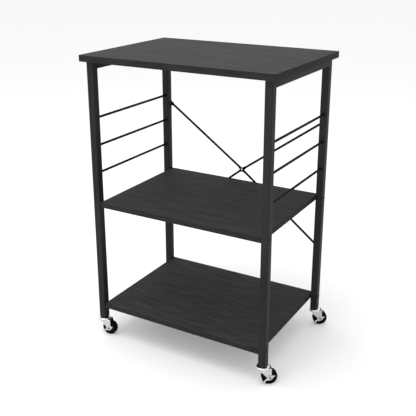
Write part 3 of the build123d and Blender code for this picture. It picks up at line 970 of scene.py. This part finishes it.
def pedal_path():
    """(along, out) points of the brake pedal's middle line: press tab, bend, blade, bend, lift tab."""
    bend_run = PEDAL_BEND * math.tan(TAB_FLARE / 2)
    start, stop = bend_run - PRESS_REACH, LIFT_REACH - bend_run
    blade_steps = 26
    press_end = [(-along, out) for along, out in pedal_end(-start, PRESS_TAB - bend_run)]
    blade = [(start + (stop - start) * step / blade_steps, PEDAL_MIDDLE) for step in range(1, blade_steps)]
    return press_end + blade + pedal_end(stop, LIFT_TAB - bend_run)[::-1]


def pedal_end(blade, tab_length):
    """Points from the tip of a flared tab round the bend to the end of the blade."""
    flare = math.degrees(TAB_FLARE)
    bend = arc((blade, PEDAL_MIDDLE + PEDAL_BEND), PEDAL_BEND, flare - 90, -90)
    tab_steps = 4
    tab = []
    for step in range(tab_steps):
        reach = tab_length * (1 - step / tab_steps)
        tab.append((bend[0][0] + reach * math.cos(TAB_FLARE), bend[0][1] + reach * math.sin(TAB_FLARE)))
    return tab + bend


def pedal_mesh(axle):
    """Rocking brake pedal: an oval blade on a strip, with a foot tab bent out at each end."""
    columns = 10
    rows = []
    for along, out in pedal_path():
        swell = math.sqrt(max(0, 1 - (along / PEDAL_OVAL) ** 2))
        half = ((PEDAL_HALF_WIDTH * swell) ** 4 + PEDAL_HALF_TIP ** 4) ** 0.25
        if along < 0:
            half += (PRESS_HALF - PEDAL_HALF_TIP) * min((out - PEDAL_MIDDLE) / PEDAL_BEND, 1)
        row = []
        for column in range(columns + 1):
            share = 2 * column / columns - 1
            dome = PEDAL_DOME * swell * (1 - share ** 2)
            row.append((along, -(out + dome), share * half))
        rows.append(row)
    mesh = pressed_sheet("pedal", rows, PEDAL_SHEET, PEDAL_EDGE)
    mesh.transform(Matrix.Rotation(-PEDAL_TILT, 4, "Y"))
    mesh.transform(Matrix.Translation(axle))
    return mesh


def mirrored_profile(half):
    """A closed wheel profile from the points of its upper half."""
    return half + [(radius, -height) for radius, height in reversed(half)]


def laid_on_axle(mesh, axle):
    """Turns a wheel piece from the Z axis onto the axle."""
    mesh.transform(Matrix.Rotation(math.pi / 2, 4, "X"))
    mesh.transform(Matrix.Translation(axle))
    return mesh


def tyre_mesh(axle, radius, half_width):
    """Rubber tyre with round shoulders, a ring groove in each side and a fine mould seam round its tread."""
    floor = half_width - GROOVE_DEPTH
    lip = GROOVE_DEPTH / 3
    shoulder = radius - TYRE_SHOULDER
    half = [(HUB_RADIUS, half_width), (GROOVE_RADIUS - GROOVE_WIDTH / 2 - lip, half_width)]
    for share, height in ((-0.5, floor + lip), (-0.25, floor), (0.25, floor), (0.5, floor + lip)):
        half.append((GROOVE_RADIUS + GROOVE_WIDTH * share, height))
    half += arc((shoulder, half_width - TYRE_SHOULDER), TYRE_SHOULDER, 90, 0, TYRE_SHOULDER_STEPS)
    half += [(radius, SEAM_HALF_WIDTH), (radius - SEAM_DEPTH, SEAM_FLOOR)]
    return laid_on_axle(turned("tyre", mirrored_profile(half)), axle)


def hub_mesh(axle, half_width):
    """Moulded wheel centre: a boss on the bush and a rim, with a round-cornered recess between them."""
    corner = HUB_CORNER
    floor = half_width - HUB_RECESS
    rim = HUB_RADIUS - HUB_RIM
    half = [(HUB_BORE, half_width - corner), (HUB_BORE + corner, half_width), (HUB_BOSS - corner, half_width)]
    half += arc((HUB_BOSS - corner, half_width - corner), corner, 90, 0, HUB_CORNER_STEPS)
    half += arc((HUB_BOSS + corner, floor + corner), corner, 180, 270, HUB_CORNER_STEPS)
    half += arc((rim - corner, floor + corner), corner, 270, 360, HUB_CORNER_STEPS)
    half += arc((rim + corner, half_width - corner), corner, 180, 90, HUB_CORNER_STEPS)
    half += [(HUB_RADIUS, half_width)]
    return laid_on_axle(turned("hub", mirrored_profile(half)), axle)


def dish_mesh():
    """Pressed bearing dish that covers the balls, with a round shoulder and a low crown."""
    low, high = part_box("caster_bearing_cups")
    leg = middle("front_right_leg")
    radius = high.x - leg.x
    shoulder = radius - DISH_ROUND
    crown = high.z
    inner = radius - DISH_SHEET
    profile = [(inner, low.z), (radius, low.z)]
    profile += arc((shoulder, crown - DISH_FALL - DISH_ROUND), DISH_ROUND, 0, DISH_ROUND_DEGREES)
    step_foot, step_top = DISH_STEP_SHARES
    profile += [(radius * step_foot, crown - DISH_STEP), (radius * step_top, crown), (DISH_BORE, crown)]
    profile += [(DISH_BORE, crown - DISH_SHEET), (inner - DISH_SHEET, crown - DISH_SHEET)]
    profile += [(inner, crown - 2 * DISH_SHEET)]
    return turned("dish", profile)


def make_casters(plate, mirror, track, rubber, nylon):
    axle, radius = caster_measures(CORNERS[0])[:2]
    half_width = WHEEL_WIDTH / 2
    parts = (
        ("fork", "caster", "yoke", "bright_plate", plate, fork_mesh(axle)),
        ("pedal", "brake", "brake_lever", "bright_plate", plate, pedal_mesh(axle)),
        ("tread", "wheel", "tyre", "tyre_rubber", rubber, tyre_mesh(axle, radius, half_width)),
        ("wheel_centre", "wheel", "wheel_hub", "wheel_plastic", nylon, hub_mesh(axle, half_width)),
    )
    for corner in CORNERS:
        leg = middle(corner + "_leg")
        turn = caster_measures(corner)[2]
        for piece, body, node, slot, finish, mesh in parts:
            copy = mesh.copy()
            copy.transform(Matrix.Rotation(turn, 4, "Z"))
            copy.transform(Matrix.Translation((leg.x, leg.y, 0)))
            show(f"{corner}_{piece}", copy, finish, f"{corner}_{body}", slot, f"{corner}_{node}")
        ring = ball_track_mesh()
        ring.transform(Matrix.Translation((leg.x, leg.y, 0)))
        show(corner + "_ball_track", ring, track, corner + "_caster", "bright_plate")
    dishes = []
    for leg in leg_middles():
        dish = dish_mesh()
        dish.transform(Matrix.Translation((leg.x, leg.y, 0)))
        dishes.append(dish)
    all_dishes = smooth(joined("dishes", dishes))
    show("caster_dishes", all_dishes, mirror, "frame", "bright_plate", "caster_bearing_cups")


def finish_nodes(laminate, powder, rod_coat, zinc, dark_steel, socket_plastic):
    """Finishes on the CAD nodes that stay."""
    coat(laminate, *BOARDS)
    coat(powder, *[corner + "_leg" for corner in CORNERS], "left_top_rail", "right_top_rail")
    coat(rod_coat, *RODS)
    coat(zinc, "middle_shelf_inserts", "bottom_shelf_inserts", "brace_rivet_nuts", "brace_centre_nut")
    coat(zinc, "caster_stems", *[corner + "_axle_bush" for corner in CORNERS])
    coat(dark_steel, "caster_bearing_balls", *[corner + "_axle" for corner in CORNERS])
    coat(socket_plastic, "caster_sockets")


# Stage
def seen_directly(tree):
    """1 for rays from the camera or off a mirror or through glass, and 0 for light that falls on things."""
    path = tree.nodes.new("ShaderNodeLightPath")
    seen = Field(tree, path.outputs["Is Camera Ray"]).at_least(path.outputs["Is Glossy Ray"])
    return seen.at_least(path.outputs["Is Transmission Ray"])


def make_floor():
    half = FLOOR_SIZE / 2
    corners = [(-half, -half, 0), (half, -half, 0), (half, half, 0), (-half, half, 0)]
    floor = bpy.data.objects.new("floor", new_mesh("floor", corners, faces=[(0, 1, 2, 3)]))
    bpy.context.scene.collection.objects.link(floor)
    material = bpy.data.materials.new("pale_floor")
    material.use_nodes = True
    tree = material.node_tree
    tree.nodes.clear()
    matt = add(tree, "ShaderNodeBsdfDiffuse", {"Color": (FLOOR_COLOUR,) * 3 + (1,)})
    lift = add(tree, "ShaderNodeEmission", {"Strength": seen_directly(tree) * FLOOR_LIFT})
    both = tree.nodes.new("ShaderNodeAddShader")
    tree.links.new(matt.outputs[0], both.inputs[0])
    tree.links.new(lift.outputs[0], both.inputs[1])
    add(tree, "ShaderNodeOutputMaterial", {"Surface": both.outputs[0]})
    floor.data.materials.append(material)


def make_sky():
    world = bpy.data.worlds.new("white_studio")
    world.use_nodes = True
    tree = world.node_tree
    strength = seen_directly(tree) * (1 - SKY_STRENGTH) + SKY_STRENGTH
    background = tree.nodes["Background"]
    background.inputs["Color"].default_value = (1, 1, 1, 1)
    tree.links.new(strength.socket, background.inputs["Strength"])
    bpy.context.scene.world = world


def make_lamp(name, place, target, width, power):
    lamp = bpy.data.lights.new(name, "AREA")
    lamp.size = width
    lamp.energy = power
    holder = bpy.data.objects.new(name, lamp)
    holder.location = place
    holder.rotation_euler = (Vector(target) - Vector(place)).to_track_quat("-Z", "Y").to_euler()
    bpy.context.scene.collection.objects.link(holder)


def make_camera():
    data = bpy.data.cameras.new("camera")
    data.lens = CAMERA_LENS
    data.sensor_width = CAMERA_SENSOR
    data.shift_y = CAMERA_SHIFT
    camera = bpy.data.objects.new("camera", data)
    camera.location = CAMERA_PLACE
    camera.rotation_euler = (math.pi / 2 + CAMERA_PITCH, 0, CAMERA_YAW)
    bpy.context.scene.collection.objects.link(camera)
    bpy.context.scene.camera = camera


def make_stage():
    make_floor()
    make_sky()
    for softbox in SOFTBOXES:
        make_lamp(*softbox)
    make_camera()
    bpy.context.scene.view_settings.view_transform = "Standard"


def main():
    powder = black_powder_coat("black_powder_coat", dark=0.013, light=0.019, sheen=0.09)
    rod_coat = black_powder_coat("black_rod_coat", dark=0.002, light=0.004, sheen=0.05)
    # The pressed plate carries painted shade on the forks' crowns
    plate = bright_plate("pressed_plate", dull=0.48, bright=0.68, roughness=0.22, shade_line=SHADE_LINE)
    mirror = bright_plate("polished_plate", dull=0.72, bright=0.86, roughness=0.06)
    dark_steel = bright_plate("dark_steel", dull=0.16, bright=0.3, roughness=0.35)
    zinc = zinc_steel()
    socket_plastic = moulded_black(
        "socket_plastic", base=0.012, roughness=0.5, sheen=0.3, grain=900, depth=0.04 * MM)
    rubber = moulded_black(
        "tyre_rubber", base=0.0025, roughness=0.62, sheen=0.03, grain=700, depth=0.05 * MM)
    nylon = moulded_black(
        "wheel_nylon", base=0.003, roughness=0.5, sheen=0.05, grain=1200, depth=0.03 * MM)
    finish_nodes(charcoal_laminate(), powder, rod_coat, zinc, dark_steel, socket_plastic)
    make_edge_strips(charcoal_edge_strip())
    make_bolts(black_fastener(), zinc)
    make_rod_collars(powder)
    make_weld_beads(powder)
    make_brace_bars(rod_coat)
    make_casters(plate, mirror, dark_steel, rubber, nylon)
    make_stage()


main()
